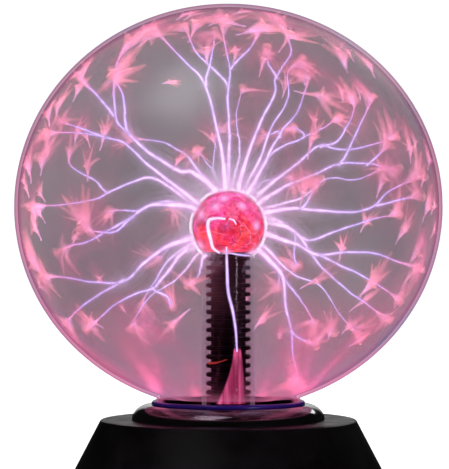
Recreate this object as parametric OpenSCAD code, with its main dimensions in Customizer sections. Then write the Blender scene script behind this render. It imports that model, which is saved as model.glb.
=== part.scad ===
// Plasma ball: a sealed glass globe with a bulb electrode on a re-entrant stem, held by its neck in a
// flared round base that carries the high-voltage driver board, a power inlet and a slide switch.
// Millimetres, +Z up, front towards -Y. The origin is under the middle of the feet.

/* [Globe] */
// Outside radius of the globe at its widest
globe_r = 100; // [97:0.5:103]
// Height of the globe over its width
globe_flatness = 0.947; // [0.94:0.001:0.955]
// Thickness of the globe's glass
globe_wall = 1.6; // [1.2:0.1:1.8]
// Outside radius of the globe's neck
neck_r = 33.5; // [33.2:0.1:33.8]
// Height of the globe's centre above the top of the base
globe_rise = 99.6; // [99.4:0.1:100.4]

/* [Stem and electrode] */
// Outside radius of the bulb around the electrode
bulb_r = 18.25; // [17:0.25:20]
// Height of the bulb's centre below the globe's centre
bulb_drop = 9.3; // [6:0.1:14]
// Outside radius of the stem tube
stem_r = 12.3; // [12:0.1:12.6]
// Thickness of the stem's glass
stem_wall = 1.2; // [1:0.1:1.3]
// Outside radius of the ridges on the stem's sleeve
ridge_r = 10.6; // [10:0.1:10.7]
// Radius of the sleeve between its ridges
groove_r = 8.2; // [7.5:0.05:8.5]
// Distance from one ridge to the next
ridge_pitch = 4.17; // [3.8:0.01:4.6]

/* [Collar] */
// Radius of the collar's crest
collar_r = 37; // [36.8:0.1:37.2]
// Height of the collar's dome above the base
collar_h = 7.2; // [7:0.1:7.5]
// Half the width of the collar's dome where it meets the base
collar_foot_w = 8.4; // [8:0.1:8.6]
// Thickness of the ring round the neck
ring_t = 2.4; // [2:0.1:2.4]

/* [Base] */
// Height of the base without its feet
base_h = 50; // [48:1:60]
// Radius at which the base's side meets its top
base_top_r = 59.8; // [58:0.2:62]
// Outward run of the base's side for each unit of height
base_flare = 0.523; // [0.5:0.001:0.55]
// Rounding of the base's top edge
edge_r = 1.25; // [1:0.25:2.5]
// Height of the upright band at the foot of the base
skirt_h = 6; // [4:0.5:7]
// Thickness of the base's shell
shell_wall = 2.4; // [2.2:0.1:2.5]
// Height of the rubber feet below the base
foot_h = 3; // [2:0.5:5]

/* [Rear panel] */
// Distance from the axis to the flat on the back of the base
rear_y = 70; // [69:0.5:70.5]
// Travel of the switch's knob from end to end
switch_travel = 4; // [2:0.5:4]
// Radius of the power inlet's socket
inlet_r = 3.15; // [3.1:0.05:3.2]
// Radius of the power inlet's centre pin
inlet_pin_r = 1.05; // [1:0.05:1.25]

/* [Hidden] */
$fn = 96;

// Heights that stack up from the floor
plate_t = 2.4;
plate_top_z = foot_h + plate_t;
base_top_z = foot_h + base_h;
globe_z = base_top_z + globe_rise;
globe_b = globe_r * globe_flatness;
bulb_z = globe_z - bulb_drop;

// Neck of the globe and the flare that seals the stem to it
neck_depth = 9;
neck_z = base_top_z - neck_depth;
neck_bore_r = neck_r - globe_wall;
neck_blend_r = 1.5;
flare_r = 8;
flare_x = stem_r + flare_r;
flare_z = neck_z + stem_wall + flare_r;
tip_r = 3;
tip_x = (flare_x + neck_bore_r) / 2;
tip_drop = 7;

// Electrode, its sleeve and its lead
wool_r = bulb_r - stem_wall - 0.1;
wool_flat_z = bulb_z - 12;
sleeve_z = neck_z + 3;
sleeve_h = wool_flat_z - sleeve_z;
sleeve_bore_r = 2.7;
ridge_t = ridge_pitch / 2;
ridges = floor(sleeve_h / ridge_pitch);
lead_r = 2.5;
lead_tip_r = 1.2;
lead_tip_h = 3;
lead_top_z = wool_flat_z - lead_tip_h;

// Collar, ring and seat that hold the neck
collar_bore_r = neck_r + 0.3;
dome_r = (collar_h * collar_h + collar_foot_w * collar_foot_w) / (2 * collar_h);
collar_sleeve_t = 2.4;
collar_foot_z = base_top_z - 8;
collar_lug_out = 1.4;
collar_lug_h = 2.8;
lug_gap = 0.2;
lug_angle = 16;
ring_x = neck_r + ring_t / 2 + 0.05;
ring_seat_z = base_top_z + collar_h - 0.6;
ring_seat_r = ring_x + ring_t / 2 + 0.05;
shell_hole_r = collar_bore_r + collar_sleeve_t + 0.3;
cushion_t = 1;
cushion_in_r = tip_x + tip_r + 0.5;
cup_t = 2.5;
cup_top_z = neck_z - cushion_t;
cup_z = cup_top_z - cup_t;
cup_r = neck_r + 2.5;
cup_tab_x = 43;
cup_tab_r = 4.5;
cup_tab_w = 7.5;

// Screws
pilot_r = 1.2;
clear_r = 1.6;
head_r = 2.8;
head_h = 1.6;
recess_w = 0.9;
recess_d = 0.9;

// Base shell
side_lean = atan(base_flare);
side_run = base_h - skirt_h;
skirt_z = foot_h + skirt_h;
skirt_r = base_top_r + side_run * base_flare;
boss_r = 4;
boss_x = 66;
boss_h = 24;
boss_angles = [20, 160, 200, 340];
cup_boss_r = 3.6;
cup_boss_angles = [90, 210, 330];
wall_y = rear_y - shell_wall;
far = 300;

// Base plate and feet
plate_gap = 0.2;
plate_r = skirt_r - shell_wall - plate_gap;
foot_r = 7;
foot_x = 60;
foot_recess = 1;
foot_edge_r = 1;
foot_angles = [45, 135, 225, 315];
vents = 12;
vent_in = 14;
vent_len = 12;
vent_w = 3;
label_size = [44, 22, 0.2];
label_y = -44;

// Driver board
board_size = [96, 66, 1.6];
board_y = -4;
board_z = plate_top_z + 6.6;
board_top_z = board_z + board_size.z;
board_hole_x = 43;
board_hole_y = 28;
standoff_r = 3.5;
board_holes = [for (x = [-1, 1], y = [-1, 1]) [x * board_hole_x, board_y + y * board_hole_y]];

// Transformer: two ferrite halves round a high-voltage winding and a primary winding
core_t = 8;
core_half_l = 26;
core_pitch = 22;
core_z = board_top_z + 11.4;
secondary_r = 10.5;
secondary_l = 32;
primary_r = 8;
primary_l = 26;
bobbin_bore_r = 5.9;
bobbin_t = 1;
flange_t = 1.2;
sections = 4;
winding_inset = 0.7;
post_r = 3;
post_top_z = core_z + secondary_r + 1.5;
cradle_wall = 1.5;

// Driver parts beside the transformer
sink_x = 34;
sink_size = [13, 26, 21];
sink_y = -8;
sink_back_t = 3;
sink_fins = 6;
sink_fin_t = 1.2;
device_size = [4.5, 10, 9];
tab_size = [1.3, 10, 15.5];
device_lift = 3.4;
tab_hole_r = 1.6;
leg_w = 0.7;
leg_x = 2.6;
leg_pitch = 2.54;
can_r = 6.5;
can_h = 20;
can_x = -38;
can_spots = [[can_x, -18], [can_x, 1]];
film_size = [13, 6, 11];
film_spot = [-34, 17];
chip_size = [9.5, 6.4, 3.3];
chip_spot = [-9, 20];
trimmer_size = [6.6, 6.6, 4.8];
trimmer_spot = [8, 20];
resistor_r = 1.2;
resistor_l = 6.5;
resistor_lead_r = 0.3;
resistor_reach = 5;
resistor_y = -33;
resistor_xs = [-24, -8, 8, 24];

// Rear panel parts
panel_z = foot_h + 17;
jack_x = -18;
jack_size = [9, 14, 11];
jack_bore_d = 10.6;
jack_pin_l = 9;
jack_hole_r = 3.4;
jack_rib_t = 1.2;
jack_gap = 0.1;
switch_x = 15;
switch_size = [12, 5.4, 6];
switch_flange = [22, 0.8, 6];
switch_screw_x = 8.6;
switch_screw_r = 1;
switch_head_r = 1.9;
switch_head_h = 1.3;
knob_w = 3;
knob_h = 2.6;
knob_out = 3;
knob_foot = [5, 1.6, 4];
knob_gap = 0.3;
slot_w = knob_w + switch_travel + 2 * knob_gap;
slot_h = knob_h + 2 * knob_gap;
foot_slot = knob_foot + [switch_travel + 2 * knob_gap, 2 * knob_gap, 2 * knob_gap];
mic_x = -4;
mic_r = 4.85;
mic_l = 6.5;
mic_port_r = 1;
mic_cup_t = 1.2;
wire_r = 0.8;
thin_wire_r = 0.6;
wire_sides = 10;
wire_rings = 18;

// ---- Helpers ----

// A screw with its head's underside at z = 0 and its shank going up, with a cross recess below
module screw(shank_r, shank_l, cap_r, cap_h) {
    cylinder(r = shank_r, h = shank_l);
    difference() {
        translate([0, 0, -cap_h]) cylinder(r = cap_r, h = cap_h);
        for (turn = [0, 90])
            rotate([0, 0, turn])
                translate([-cap_r * 0.6, -recess_w / 2, -cap_h - 1])
                    cube([cap_r * 1.2, recess_w, 1 + recess_d]);
    }
}

// A box centred in X and Y, standing on z = 0
module block(size) {
    translate([-size.x / 2, -size.y / 2, 0]) cube(size);
}

function bezier(a, b, c, d, t) =
    pow(1 - t, 3) * a + 3 * pow(1 - t, 2) * t * b + 3 * (1 - t) * t * t * c + pow(t, 3) * d;

function unit(v) = v / norm(v);

// A wire from a to d that leaves a towards b and reaches d from c
module wire(a, b, c, d, r) {
    path = [for (i = [0 : wire_rings]) bezier(a, b, c, d, i / wire_rings)];
    inner_ways = [for (i = [1 : wire_rings - 1]) unit(path[i + 1] - path[i - 1])];
    ways = concat([unit(b - a)], inner_ways, [unit(d - c)]);
    points = [
        for (i = [0 : wire_rings])
            let (side = unit(cross(ways[i], [1, 0, 0])), up = cross(side, ways[i]))
            for (k = [0 : wire_sides - 1])
                path[i] + r * (cos(k * 360 / wire_sides) * side + sin(k * 360 / wire_sides) * up)
    ];
    walls = [
        for (i = [0 : wire_rings - 1])
            for (k = [0 : wire_sides - 1])
                let (next = (k + 1) % wire_sides, row = i * wire_sides)
                [row + k, row + next, row + wire_sides + next, row + wire_sides + k]
    ];
    last = wire_rings * wire_sides;
    start_cap = [for (k = [wire_sides - 1 : -1 : 0]) k];
    end_cap = [for (k = [0 : wire_sides - 1]) last + k];
    polyhedron(points, concat(walls, [start_cap, end_cap]));
}

// ---- Globe and electrode ----

// Half outline of the globe and its neck, drawn in by inset and carried on down past the neck's end
module globe_outline(inset, down) {
    a = globe_r - inset;
    b = globe_b - inset;
    intersection() {
        union() {
            translate([0, globe_z]) scale([1, b / a]) circle(r = a);
            translate([0, neck_z - down]) square([neck_r - inset, globe_z - neck_z + down]);
        }
        translate([0, neck_z - down]) square([a, globe_z + b]);
    }
}

// Small concave blend where the globe meets the outside of its neck
module neck_blend() {
    a = globe_r + neck_blend_r;
    b = globe_b + neck_blend_r;
    x = neck_r + neck_blend_r;
    drop = b * sqrt(1 - pow(x / a, 2));
    slope = atan2(drop / (b * b), x / (a * a));
    touch = [x - neck_blend_r * cos(slope), neck_blend_r * sin(slope)];
    translate([0, globe_z - drop])
        difference() {
            polygon([
                [neck_r - 0.5, 0],
                [x, 0],
                touch,
                touch + [-0.2, 0.4],
                [neck_r - 0.5, touch.y + 0.4]
            ]);
            translate([x, 0]) circle(r = neck_blend_r);
        }
}

module glass_globe() {
    color("thistle", 0.35)
        rotate_extrude()
            difference() {
                union() {
                    globe_outline(0, 0);
                    neck_blend();
                }
                globe_outline(globe_wall, 1);
            }
}

// Half outline of the stem's tube and bulb, drawn in by inset
module stem_outline(inset) {
    intersection() {
        union() {
            translate([0, bulb_z]) circle(r = bulb_r - inset);
            translate([0, flare_z]) square([stem_r - inset, bulb_z - flare_z]);
        }
        translate([0, flare_z]) square([bulb_r, bulb_z]);
    }
}

// The rounded flare and the disc that reach from the stem's tube to the neck
module flare_outline() {
    translate([flare_x, flare_z])
        intersection() {
            difference() {
                circle(r = flare_r + stem_wall);
                circle(r = flare_r);
            }
            translate([-far, -far]) square([far, far]);
        }
    translate([flare_x, neck_z]) square([neck_bore_r - flare_x, stem_wall]);
}

module glass_stem() {
    color("lavenderblush", 0.4)
        rotate_extrude() {
            difference() {
                stem_outline(0);
                stem_outline(stem_wall);
            }
            flare_outline();
        }
}

module exhaust_tip() {
    color("lavenderblush", 0.4)
        translate([tip_x, 0, neck_z - tip_drop])
            rotate_extrude()
                intersection() {
                    union() {
                        translate([0, tip_r]) circle(r = tip_r);
                        translate([0, tip_r]) square([tip_r, tip_drop - tip_r]);
                    }
                    square([tip_r, tip_drop]);
                }
}

module electrode_wool() {
    color("orangered")
        rotate_extrude()
            intersection() {
                translate([0, bulb_z]) circle(r = wool_r);
                translate([0, wool_flat_z]) square([wool_r, 2 * wool_r]);
            }
}

module stem_sleeve() {
    color("black")
        rotate_extrude() {
            translate([sleeve_bore_r, sleeve_z]) square([groove_r - sleeve_bore_r, sleeve_h]);
            for (i = [0 : ridges - 1])
                translate([0, sleeve_z + (i + 0.5) * ridge_pitch]) {
                    translate([groove_r - 0.5, -ridge_t / 2])
                        square([ridge_r - ridge_t / 2 - groove_r + 0.5, ridge_t]);
                    translate([ridge_r - ridge_t / 2, 0]) circle(r = ridge_t / 2);
                }
        }
}

module hv_lead() {
    color("whitesmoke")
        translate([0, 0, post_top_z]) cylinder(r = lead_r, h = lead_top_z - post_top_z);
}

module lead_tip() {
    color("goldenrod")
        translate([0, 0, lead_top_z]) cylinder(r = lead_tip_r, h = lead_tip_h);
}

// ---- Neck, collar and seat ----

module neck_ring() {
    color("midnightblue")
        rotate_extrude()
            translate([ring_x, ring_seat_z + ring_t / 2]) circle(r = ring_t / 2);
}

module neck_seal() {
    color("gainsboro")
        rotate_extrude()
            translate([neck_r, neck_z + 2]) square([collar_bore_r - neck_r, 12]);
}

module collar() {
    color("black") {
        rotate_extrude()
            difference() {
                union() {
                    intersection() {
                        translate([collar_r, base_top_z + collar_h - dome_r]) circle(r = dome_r);
                        translate([0, base_top_z]) square([far, collar_h]);
                    }
                    translate([collar_bore_r, collar_foot_z])
                        square([collar_sleeve_t, base_top_z - collar_foot_z]);
                }
                translate([0, base_top_z - 1]) square([collar_bore_r, far]);
                translate([0, ring_seat_z]) square([ring_seat_r, far]);
            }
        for (turn = [0 : 90 : 270])
            rotate([0, 0, turn - lug_angle / 2])
                rotate_extrude(angle = lug_angle)
                    translate([collar_bore_r + collar_sleeve_t - 0.5, base_top_z - shell_wall - lug_gap])
                        translate([0, -collar_lug_h]) square([0.5 + collar_lug_out, collar_lug_h]);
    }
}

module neck_cushion() {
    color("dimgray")
        rotate_extrude()
            translate([cushion_in_r, cup_top_z]) square([neck_r - cushion_in_r, cushion_t]);
}

// Flat outline of the seat: a disc with a tab for each screw and a hole for the exhaust tip
module seat_outline() {
    difference() {
        union() {
            circle(r = cup_r);
            for (turn = cup_boss_angles)
                rotate(turn) {
                    translate([cup_r - 2, -cup_tab_w / 2]) square([cup_tab_x - cup_r + 2, cup_tab_w]);
                    translate([cup_tab_x, 0]) circle(r = cup_tab_r);
                }
        }
        translate([tip_x, 0]) circle(r = tip_r + 1);
        for (turn = cup_boss_angles)
            rotate(turn) translate([cup_tab_x, 0]) circle(r = clear_r);
    }
}

module seat_cup() {
    color("dimgray")
        difference() {
            union() {
                translate([0, 0, cup_z]) linear_extrude(cup_t) seat_outline();
                translate([0, 0, cup_top_z])
                    cylinder(r = stem_r - stem_wall - 0.4, h = sleeve_z - cup_top_z);
            }
            translate([0, 0, cup_z - 1]) cylinder(r = lead_r + 0.2, h = far);
        }
}

module seat_screws() {
    color("silver")
        for (turn = cup_boss_angles)
            rotate([0, 0, turn]) translate([cup_tab_x, 0, cup_z]) screw(pilot_r, 7.5, head_r, head_h);
}

// ---- Base ----

// Half outline of the base's outside
module shell_outline() {
    corner_x = base_top_r - edge_r * (1 - sin(side_lean)) / cos(side_lean);
    corner = [corner_x, base_top_z - edge_r];
    polygon([
        [0, foot_h],
        [skirt_r, foot_h],
        [skirt_r, skirt_z],
        corner + edge_r * [cos(side_lean), sin(side_lean)],
        corner,
        corner + [0, edge_r],
        [0, base_top_z]
    ]);
    translate(corner) circle(r = edge_r);
}

// Half outline of the hollow inside the base
module hollow_outline() {
    side_wall = shell_wall / cos(side_lean);
    top_z = base_top_z - shell_wall;
    polygon([
        [0, foot_h - 1],
        [skirt_r - shell_wall, foot_h - 1],
        [skirt_r - shell_wall, skirt_z - (side_wall - shell_wall) / base_flare],
        [base_top_r - side_wall + shell_wall * base_flare, top_z],
        [0, top_z]
    ]);
}

// Everything in front of a plane across the back of the base
module before(y) {
    translate([-far, y - 2 * far, -far]) cube([2 * far, 2 * far, 2 * far]);
}

// A round hole through the rear panel
module panel_hole(x, r) {
    translate([x, wall_y - 1, panel_z]) rotate([-90, 0, 0]) cylinder(r = r, h = shell_wall + 2);
}

module shell_posts() {
    for (turn = boss_angles)
        rotate([0, 0, turn]) translate([boss_x, 0, plate_top_z]) cylinder(r = boss_r, h = boss_h);
    for (turn = cup_boss_angles)
        rotate([0, 0, turn])
            translate([cup_tab_x, 0, cup_top_z])
                cylinder(r = cup_boss_r, h = base_top_z - shell_wall / 2 - cup_top_z);
    for (side = [-1, 1])
        translate([jack_x + side * (jack_size.x / 2 + jack_gap + jack_rib_t / 2), wall_y + 1, panel_z - 5])
            translate([-jack_rib_t / 2, -12, 0]) cube([jack_rib_t, 12, 10]);
    translate([mic_x, wall_y + 1, panel_z])
        rotate([90, 0, 0]) cylinder(r = mic_r + mic_cup_t + 0.05, h = mic_l);
}

module shell_holes() {
    for (turn = boss_angles)
        rotate([0, 0, turn]) translate([boss_x, 0, plate_top_z - 1]) cylinder(r = pilot_r, h = 13);
    for (turn = cup_boss_angles)
        rotate([0, 0, turn]) translate([cup_tab_x, 0, cup_top_z - 1]) cylinder(r = pilot_r, h = 7);
    translate([0, 0, base_top_z - far / 2]) cylinder(r = shell_hole_r, h = far);
    for (turn = [45 : 90 : 315])
        rotate([0, 0, turn - lug_angle * 0.6])
            rotate_extrude(angle = lug_angle * 1.2)
                translate([0, base_top_z - shell_wall - 1])
                    square([shell_hole_r + collar_lug_out, shell_wall + 2]);
    panel_hole(jack_x, jack_hole_r);
    panel_hole(mic_x, mic_port_r);
    for (side = [-1, 1])
        panel_hole(switch_x + side * switch_screw_x, switch_screw_r + 0.2);
    translate([switch_x - slot_w / 2, wall_y - 1, panel_z - slot_h / 2])
        cube([slot_w, shell_wall + 2, slot_h]);
    translate([mic_x, wall_y - 0.4, panel_z])
        rotate([90, 0, 0]) cylinder(r = mic_r + 0.05, h = mic_l);
}

module base_shell() {
    color([0.05, 0.04, 0.05])
        difference() {
            union() {
                difference() {
                    intersection() {
                        rotate_extrude() shell_outline();
                        before(rear_y);
                    }
                    intersection() {
                        rotate_extrude() hollow_outline();
                        before(wall_y);
                    }
                }
                shell_posts();
            }
            shell_holes();
        }
}

module base_plate() {
    color([0.07, 0.07, 0.07])
        difference() {
            union() {
                intersection() {
                    translate([0, 0, foot_h]) cylinder(r = plate_r, h = plate_t);
                    before(wall_y - plate_gap);
                }
                for (spot = board_holes)
                    translate([spot.x, spot.y, foot_h]) cylinder(r = standoff_r, h = board_z - foot_h);
            }
            for (spot = board_holes)
                translate([spot.x, spot.y, foot_h + 1]) cylinder(r = pilot_r, h = far);
            for (turn = boss_angles)
                rotate([0, 0, turn]) translate([boss_x, 0, foot_h - 1]) {
                    cylinder(r = clear_r, h = far);
                    cylinder(r = head_r + 0.2, h = 1 + head_h);
                }
            for (turn = foot_angles)
                rotate([0, 0, turn])
                    translate([foot_x, 0, foot_h - 1]) cylinder(r = foot_r, h = 1 + foot_recess);
            for (i = [0 : vents - 1])
                rotate([0, 0, (i + 0.5) * 360 / vents])
                    translate([vent_in, -vent_w / 2, foot_h - 1]) cube([vent_len, vent_w, plate_t + 2]);
        }
}

module plate_screws() {
    color("silver")
        for (turn = boss_angles)
            rotate([0, 0, turn])
                translate([boss_x, 0, foot_h + head_h]) screw(pilot_r, 10, head_r, head_h);
}

module foot(turn) {
    color([0.12, 0.12, 0.12])
        rotate([0, 0, turn])
            translate([foot_x, 0, 0])
                rotate_extrude() {
                    square([foot_r - foot_edge_r, foot_h + foot_recess]);
                    translate([0, foot_edge_r]) square([foot_r, foot_h + foot_recess - foot_edge_r]);
                    translate([foot_r - foot_edge_r, foot_edge_r]) circle(r = foot_edge_r);
                }
}

module rating_label() {
    color("silver")
        translate([0, label_y, foot_h - label_size.z]) block(label_size);
}

// ---- Driver board ----

module circuit_board() {
    color("darkgreen")
        difference() {
            translate([0, board_y, board_z]) block(board_size);
            for (spot = board_holes)
                translate([spot.x, spot.y, board_z - 1]) cylinder(r = clear_r, h = board_size.z + 2);
        }
}

module board_screws() {
    color("silver")
        for (spot = board_holes)
            translate([spot.x, spot.y, board_top_z]) rotate([180, 0, 0]) screw(pilot_r, 7, head_r, head_h);
}

// Both ferrite halves meet at x = 0; the halves mirror each other
module core_half(side) {
    color([0.22, 0.22, 0.24])
        mirror([side < 0 ? 1 : 0, 0, 0])
            translate([0, 0, core_z - core_t / 2])
                difference() {
                    translate([0.05, -core_pitch - core_t / 2, 0])
                        cube([core_half_l, core_pitch + core_t, core_t]);
                    translate([-1, -core_pitch + core_t / 2, -1])
                        cube([core_half_l - core_t + 1, core_pitch - core_t, core_t + 2]);
                }
}

module transformer_cradle() {
    saddle = core_z - core_t / 2 - board_top_z;
    color([0.1, 0.1, 0.12])
        for (side = [-1, 1])
            translate([side * (core_half_l - core_t / 2), -core_pitch / 2, board_top_z]) {
                block([core_t, core_pitch + core_t + 2 * cradle_wall, saddle]);
                for (end = [-1, 1])
                    translate([0, end * (core_pitch + core_t + cradle_wall) / 2, saddle])
                        block([core_t, cradle_wall, core_t / 2]);
            }
}

// A spool on an axle along X, with its walls between the sections of its winding
module spool(length, r, parts) {
    step = (length - flange_t) / parts;
    rotate([0, 90, 0])
        rotate_extrude() {
            translate([bobbin_bore_r, -length / 2]) square([bobbin_t, length]);
            for (i = [0 : parts])
                translate([bobbin_bore_r, i * step - length / 2])
                    square([r - bobbin_bore_r, flange_t]);
        }
}

// The turns of wire that fill a spool's sections
module turns(length, r, parts) {
    step = (length - flange_t) / parts;
    inner = bobbin_bore_r + bobbin_t;
    rotate([0, 90, 0])
        for (i = [0 : parts - 1])
            rotate_extrude()
                translate([inner, i * step - length / 2 + flange_t])
                    square([r - winding_inset - inner, step - flange_t]);
}

module secondary_bobbin() {
    color("ivory") {
        translate([0, 0, core_z]) spool(secondary_l, secondary_r, sections);
        translate([0, 0, core_z + secondary_r - winding_inset + 0.1])
            cylinder(r = post_r, h = post_top_z - core_z - secondary_r + winding_inset - 0.1);
    }
}

module secondary_winding() {
    color("chocolate")
        translate([0, 0, core_z]) turns(secondary_l, secondary_r, sections);
}

module primary_bobbin() {
    color("ivory")
        translate([0, -core_pitch, core_z]) spool(primary_l, primary_r, 1);
}

module primary_winding() {
    color("firebrick")
        translate([0, -core_pitch, core_z]) turns(primary_l, primary_r, 1);
}

module heat_sink() {
    color("silver")
        difference() {
            translate([sink_x, sink_y - sink_size.y / 2, board_top_z]) {
                cube([sink_back_t, sink_size.y, sink_size.z]);
                for (i = [0 : sink_fins - 1])
                    translate([sink_back_t - 0.5, i * (sink_size.y - sink_fin_t) / (sink_fins - 1), 0])
                        cube([sink_size.x - sink_back_t + 0.5, sink_fin_t, sink_size.z]);
            }
            translate([sink_x - 1, sink_y, device_hole_z()])
                rotate([0, 90, 0]) cylinder(r = tab_hole_r - 0.1, h = sink_back_t + 2);
        }
}

function device_hole_z() = board_top_z + device_lift + tab_size.z - 2.8;

module power_transistor() {
    color([0.15, 0.15, 0.16]) {
        difference() {
            translate([sink_x - tab_size.x, sink_y - tab_size.y / 2, board_top_z + device_lift])
                cube(tab_size);
            translate([sink_x - tab_size.x - 1, sink_y, device_hole_z()])
                rotate([0, 90, 0]) cylinder(r = tab_hole_r, h = tab_size.x + 2);
        }
        translate([sink_x - device_size.x, sink_y - device_size.y / 2, board_top_z + device_lift])
            cube([device_size.x - tab_size.x + 0.2, device_size.y, device_size.z]);
        for (i = [-1 : 1])
            translate([sink_x - leg_x, sink_y + i * leg_pitch, board_top_z])
                block([leg_w, leg_w, device_lift + 0.5]);
    }
}

module transistor_screw() {
    color("silver")
        translate([sink_x - tab_size.x, sink_y, device_hole_z()])
            rotate([0, 90, 0]) screw(tab_hole_r - 0.1, 4, head_r, head_h);
}

// An upright can capacitor with a groove near its foot
module electrolytic(spot) {
    color("midnightblue")
        translate([spot.x, spot.y, board_top_z])
            rotate_extrude()
                difference() {
                    square([can_r, can_h]);
                    translate([can_r + 0.3, 2.6]) circle(r = 0.8);
                }
}

module film_capacitor() {
    color("goldenrod")
        translate([film_spot.x, film_spot.y, board_top_z]) block(film_size);
}

module control_chip() {
    color([0.1, 0.1, 0.1])
        translate([chip_spot.x, chip_spot.y, board_top_z]) {
            difference() {
                translate([0, 0, 0.6]) block(chip_size);
                translate([-chip_size.x / 2, 0, 0.6 + chip_size.z - 0.4]) cylinder(r = 1, h = 1);
            }
            for (i = [-1.5 : 1.5], side = [-1, 1])
                translate([i * 2.4, side * (chip_size.y / 2 + 0.2), 0]) block([0.6, 0.6, 2.2]);
        }
}

module trimmer() {
    color("royalblue")
        translate([trimmer_spot.x, trimmer_spot.y, board_top_z])
            difference() {
                union() {
                    block(trimmer_size);
                    cylinder(r = 2.4, h = trimmer_size.z + 0.8);
                }
                translate([-2, -0.35, trimmer_size.z]) cube([4, 0.7, 1]);
            }
}

// A resistor lying along X with its leads bent down to the board
module resistor(x) {
    color("burlywood")
        translate([x, resistor_y, board_top_z + resistor_r + 0.2])
            rotate([0, 90, 0]) {
                translate([0, 0, -resistor_l / 2]) cylinder(r = resistor_r, h = resistor_l);
                translate([0, 0, -resistor_reach]) cylinder(r = resistor_lead_r, h = 2 * resistor_reach);
                for (end = [-1, 1])
                    translate([0, 0, end * (resistor_reach - resistor_lead_r)])
                        rotate([0, 90, 0]) cylinder(r = resistor_lead_r, h = resistor_r + 0.2);
            }
}

// ---- Rear panel parts ----

module dc_jack() {
    color([0.08, 0.08, 0.08])
        translate([jack_x, wall_y, panel_z])
            difference() {
                translate([-jack_size.x / 2, -jack_size.y, -jack_size.z / 2]) cube(jack_size);
                rotate([90, 0, 0]) translate([0, 0, -1]) cylinder(r = inlet_r, h = 1 + jack_bore_d);
                rotate([90, 0, 0]) cylinder(r = inlet_pin_r, h = jack_size.y + 1);
            }
}

module jack_pin() {
    tail = jack_size.y - jack_bore_d;
    color("gainsboro")
        translate([jack_x, wall_y - jack_bore_d + jack_pin_l, panel_z])
            rotate([90, 0, 0]) cylinder(r = inlet_pin_r, h = jack_pin_l + tail);
}

// A wire from the back of the inlet down to the board's rear edge
module jack_wire(x, rise, shade) {
    start = [jack_x + x, wall_y - jack_size.y, panel_z + rise];
    end = [jack_x + x, board_y + board_size.y / 2 - 4, board_top_z];
    color(shade) wire(start, start + [0, -12, 0], end + [0, 0, 12], end, wire_r);
}

module switch_body() {
    color("silver")
        translate([switch_x, wall_y, panel_z])
            difference() {
                union() {
                    translate([-switch_flange.x / 2, -switch_flange.y, -switch_flange.z / 2])
                        cube(switch_flange);
                    translate([-switch_size.x / 2, -switch_flange.y - switch_size.y, -switch_size.z / 2])
                        cube([switch_size.x, switch_size.y + 0.4, switch_size.z]);
                }
                translate([-slot_w / 2, -switch_flange.y - 1, -slot_h / 2]) cube([slot_w, 3, slot_h]);
                translate([-foot_slot.x / 2, -switch_flange.y - foot_slot.y, -foot_slot.z / 2])
                    cube(foot_slot);
                for (side = [-1, 1])
                    translate([side * switch_screw_x, 1, 0])
                        rotate([90, 0, 0]) cylinder(r = switch_screw_r, h = 4);
            }
}

module switch_knob() {
    reach = knob_out + shell_wall + switch_flange.y + knob_gap;
    color("black")
        translate([switch_x - switch_travel / 2, wall_y, panel_z]) {
            difference() {
                translate([-knob_w / 2, rear_y - wall_y + knob_out - reach, -knob_h / 2])
                    cube([knob_w, reach, knob_h]);
                for (i = [-1 : 1])
                    translate([i * 0.9 - 0.2, rear_y - wall_y + knob_out - 0.4, -knob_h])
                        cube([0.4, 1, 2 * knob_h]);
            }
            translate([-knob_foot.x / 2, -switch_flange.y - knob_gap - knob_foot.y, -knob_foot.z / 2])
                cube(knob_foot);
        }
}

module switch_screws() {
    color("silver")
        for (side = [-1, 1])
            translate([switch_x + side * switch_screw_x, rear_y, panel_z])
                rotate([90, 0, 0]) screw(switch_screw_r, shell_wall + 1.4, switch_head_r, switch_head_h);
}

module switch_wires() {
    color("gold")
        for (i = [-1 : 1]) {
            start = [switch_x + i * 3, wall_y - switch_flange.y - switch_size.y, panel_z];
            end = [switch_x + i * 3, board_y + board_size.y / 2 - 4, board_top_z];
            wire(start, start + [0, -14, 0], end + [0, 0, 14], end, thin_wire_r);
        }
}

module microphone() {
    color("silver")
        translate([mic_x, wall_y - 0.4, panel_z])
            rotate([90, 0, 0])
                difference() {
                    cylinder(r = mic_r, h = mic_l);
                    translate([0, 0, -1]) cylinder(r = mic_r * 0.6, h = 1.3);
                }
}

module microphone_wires() {
    color("dimgray")
        for (side = [-1, 1]) {
            start = [mic_x + side * 1.3, wall_y - 0.4 - mic_l, panel_z];
            end = [mic_x + side * 1.3, board_y + board_size.y / 2 - 4, board_top_z];
            wire(start, start + [0, -14, 0], end + [0, 0, 14], end, thin_wire_r);
        }
}

// ---- Nodes ----

glass_globe();
glass_stem();
exhaust_tip();
electrode_wool();
stem_sleeve();
hv_lead();
lead_tip();
neck_ring();
neck_seal();
collar();
neck_cushion();
seat_cup();
seat_screws();
base_shell();
base_plate();
plate_screws();
for (i = [0 : 3])
    foot(foot_angles[i]);
rating_label();
circuit_board();
board_screws();
transformer_cradle();
core_half(-1);  // core_left
core_half(1);  // core_right
secondary_bobbin();
secondary_winding();
primary_bobbin();
primary_winding();
heat_sink();
power_transistor();
transistor_screw();
for (i = [0 : 1])
    electrolytic(can_spots[i]);
film_capacitor();
control_chip();
trimmer();
for (i = [0 : 3])
    resistor(resistor_xs[i]);
dc_jack();
jack_pin();
jack_wire(-2, 3, "firebrick");  // jack_wire_positive
jack_wire(2, -3, "black");  // jack_wire_negative
switch_body();
switch_knob();
switch_screws();
switch_wires();
microphone();
microphone_wires();
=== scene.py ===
import math
import random

import bpy
import numpy as np
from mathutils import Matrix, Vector, noise


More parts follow.
